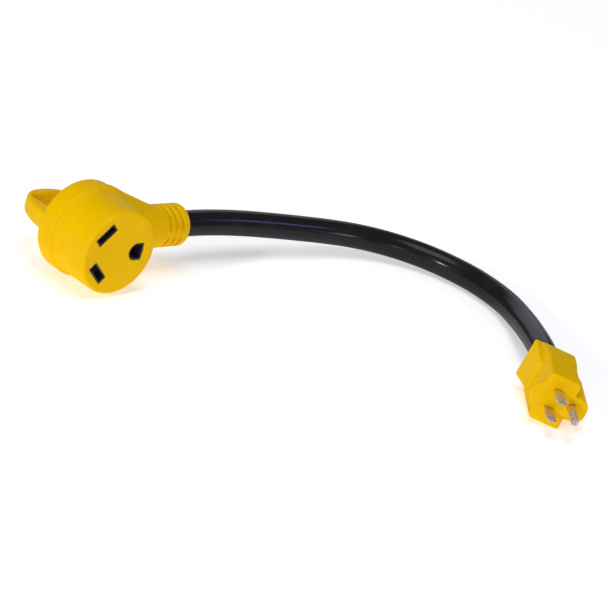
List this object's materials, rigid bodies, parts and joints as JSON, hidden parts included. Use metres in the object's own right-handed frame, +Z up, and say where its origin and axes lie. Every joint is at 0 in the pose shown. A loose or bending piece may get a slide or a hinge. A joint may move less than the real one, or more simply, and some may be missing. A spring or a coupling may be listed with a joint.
{
  "type": "power adapter dogbone",
  "caption": "Short adapter cord for a travel trailer: a round right-angle connector with a finger handle, a thick black cord and a flat household plug with a grip pad.",
  "frame": {"origin": "on the floor under the middle of the connector's bounding box, cord and plug left out", "axes": "+X from the connector along its neck towards the cord, -Y out of the connector's face, +Z up from the floor"},
  "size_m": [0.3055, 0.3227, 0.06],
  "materials": {
    "yellow_pvc": "satin moulded",
    "black_plastic": "satin",
    "contact_brass": "stamped, bright",
    "cord_black": "smooth, slightly glossy",
    "nylon": "natural nylon",
    "nickel_plate": "nickel plated",
    "copper": "bare strands",
    "wire_black": "smooth",
    "wire_white": "smooth",
    "wire_green": "smooth"
  },
  "bodies": {
    "root": {"connector_body": "yellow_pvc", "contact_carrier": "black_plastic", "contact_retainer": "black_plastic", "hot_contact": "contact_brass", "neutral_contact": "contact_brass", "ground_contact": "contact_brass", "hot_wire_connector": "wire_black", "neutral_wire_connector": "wire_white", "ground_wire_connector": "wire_green", "hot_strands_connector": "copper", "neutral_strands_connector": "copper", "ground_strands_connector": "copper", "cord_jacket": "cord_black", "plug_body": "yellow_pvc", "blade_bridge": "nylon", "hot_blade": "nickel_plate", "neutral_blade": "nickel_plate", "ground_pin": "nickel_plate", "hot_wire_plug": "wire_black", "neutral_wire_plug": "wire_white", "ground_wire_plug": "wire_green", "hot_strands_plug": "copper", "neutral_strands_plug": "copper", "ground_strands_plug": "copper"}
  },
  "joints": []
}
